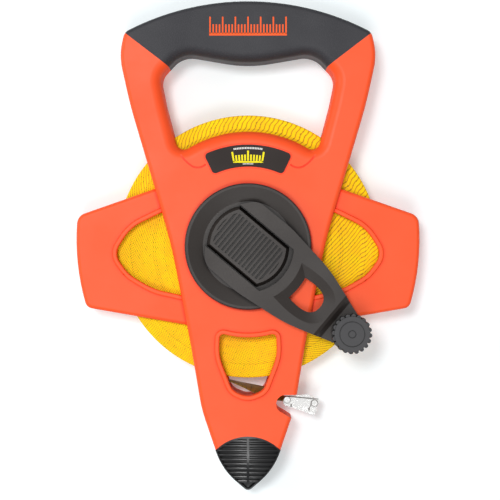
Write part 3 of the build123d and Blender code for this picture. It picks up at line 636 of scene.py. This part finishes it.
def label_marks():
    """Generic print on the label: a bold graduated scale between two dashed white rules."""
    bm = bmesh.new()
    for i in range(-SCALE_STEPS, SCALE_STEPS + 1):
        high = SCALE_TICK_R + (SCALE_LONG if i % 5 == 0 else SCALE_SHORT)
        first, last = (i - SCALE_TICK_HALF) * LABEL_STEP, (i + SCALE_TICK_HALF) * LABEL_STEP
        print_bar(bm, round_axis, (SCALE_TICK_R, first), (high, last))
    half = (SCALE_STEPS + SCALE_TICK_HALF) * LABEL_STEP
    print_bar(bm, round_axis, (SCALE_BAR[0], -half), (SCALE_BAR[1], half))
    add_piece("label_scale", bm, PRINT_YELLOW, "frame", smooth=False)
    bm = bmesh.new()
    for dashes, low, high, gap in RULE_DASHES:
        for i in range(-dashes, dashes):
            first, last = (i + gap) * LABEL_STEP / 2, (i + DASH_END) * LABEL_STEP / 2
            print_bar(bm, round_axis, (low, first), (high, last))
    add_piece("label_rule", bm, PRINT_WHITE, "frame", smooth=False)


def grip_marks():
    """A plain ruler scale printed along the middle of the grip."""
    bm = bmesh.new()
    for i in range(-GRIP_TICKS, GRIP_TICKS + 1):
        x, high = GRIP_PITCH * i, GRIP_LONG if i % 4 == 0 else GRIP_SHORT
        print_bar(bm, straight, (x - GRIP_TICK_HALF, GRIP_TICK_Y), (x + GRIP_TICK_HALF, GRIP_TICK_Y + high))
    print_bar(bm, straight, (-GRIP_BAR_HALF, GRIP_BAR_Y[0]), (GRIP_BAR_HALF, GRIP_BAR_Y[1]))
    add_piece("grip_scale", bm, PRINT_ORANGE, "frame", smooth=False)


def fitting_seams():
    """Painted shade as thin dark bars in the fitting's face: along the seam where its sheet is folded, and
    in two punched slots where it is cut.
    """
    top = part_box("end_fitting")[1].z
    bm = bmesh.new()
    for start, end in zip(SEAM_PATH, SEAM_PATH[1:]):
        run, along = from_line(start, end)
        print_bar(bm, along, (0, -SEAM_HALF), (run, SEAM_HALF), top)
    for x, low, high in SLOTS:
        print_bar(bm, straight, (x - SLOT_HALF, low), (x + SLOT_HALF, high), top)
    add_piece("fitting_seams", bm, SEAM_SHADE, "hook", smooth=False)


# ---- stage ----
def build_stage():
    """A pale paper floor just under the resting face."""
    bm = bmesh.new()
    bmesh.ops.create_grid(bm, x_segments=1, y_segments=1, size=FLOOR_REACH)
    mesh = bpy.data.meshes.new("floor")
    bm.to_mesh(mesh)
    bm.free()
    floor = bpy.data.objects.new("floor", mesh)
    bpy.context.collection.objects.link(floor)
    floor.location.z = cad_bounds[0].z - FLOOR_GAP
    tree = Tree("floor_paper")
    mottle = tree.blend(tree.noise(3.0, 2.0), rgb(0.78, 0.85, 0.87), rgb(0.82, 0.88, 0.90))
    glow = rgb(1.0, 1.0, 1.0)
    mesh.materials.append(tree.finish(mottle, 0.9, Emission_Color=glow, Emission_Strength=FLOOR_GLOW))


def area_light(name, place, aim, size, power):
    light = bpy.data.lights.new(name, "AREA")
    light.shape = "DISK"
    light.size = size
    light.energy = power
    lamp = bpy.data.objects.new(name, light)
    bpy.context.collection.objects.link(lamp)
    lamp.location = place
    lamp.rotation_euler = (Vector(aim) - Vector(place)).to_track_quat("-Z", "Y").to_euler()


def build_lights():
    """Key from the upper left, a low light along the left edges, a fill and a sky brightest overhead."""
    area_light("key", place=(-0.50, 0.50, 2.6), aim=(0, 0, 0), size=0.6, power=31.0)
    area_light("edge", place=(-1.4, 0.25, 0.75), aim=(0, 0, 0.02), size=0.6, power=7.0)
    area_light("fill", place=(0.0, -0.95, 2.3), aim=(0, 0, 0), size=0.9, power=15.0)
    world = bpy.data.worlds.new("studio")
    world.use_nodes = True
    nodes, links = world.node_tree.nodes, world.node_tree.links
    split = nodes.new("ShaderNodeSeparateXYZ")
    links.new(nodes.new("ShaderNodeTexCoord").outputs["Generated"], split.inputs[0])
    height = nodes.new("ShaderNodeMapRange")
    height.inputs["From Min"].default_value = SKY_HEIGHTS[0]
    height.inputs["From Max"].default_value = SKY_HEIGHTS[1]
    height.inputs["To Min"].default_value = SKY_STRENGTHS[0]
    height.inputs["To Max"].default_value = SKY_STRENGTHS[1]
    links.new(split.outputs["Z"], height.inputs["Value"])
    background = nodes["Background"]
    background.inputs["Color"].default_value = rgb(1.0, 1.0, 1.0)
    links.new(height.outputs["Result"], background.inputs["Strength"])
    bpy.context.scene.world = world
    bpy.context.scene.view_settings.view_transform = "Standard"


def build_camera():
    """Looks straight down on the reel's front."""
    camera = bpy.data.objects.new("camera", bpy.data.cameras.new("camera"))
    bpy.context.collection.objects.link(camera)
    camera.location = (CAMERA_X, CAMERA_Y, FRONT_Z + CAMERA_HEIGHT)
    camera.data.sensor_width = SENSOR_MM
    camera.data.lens = SENSOR_MM * CAMERA_HEIGHT / VIEW_WIDTH
    camera.data.clip_start = CAMERA_NEAR
    camera.data.clip_end = CAMERA_FAR
    bpy.context.scene.camera = camera


build_camera()
finish_cad_nodes()
wound_pack()
tape_ribbon()
label_marks()
grip_marks()
fitting_seams()
build_stage()
build_lights()
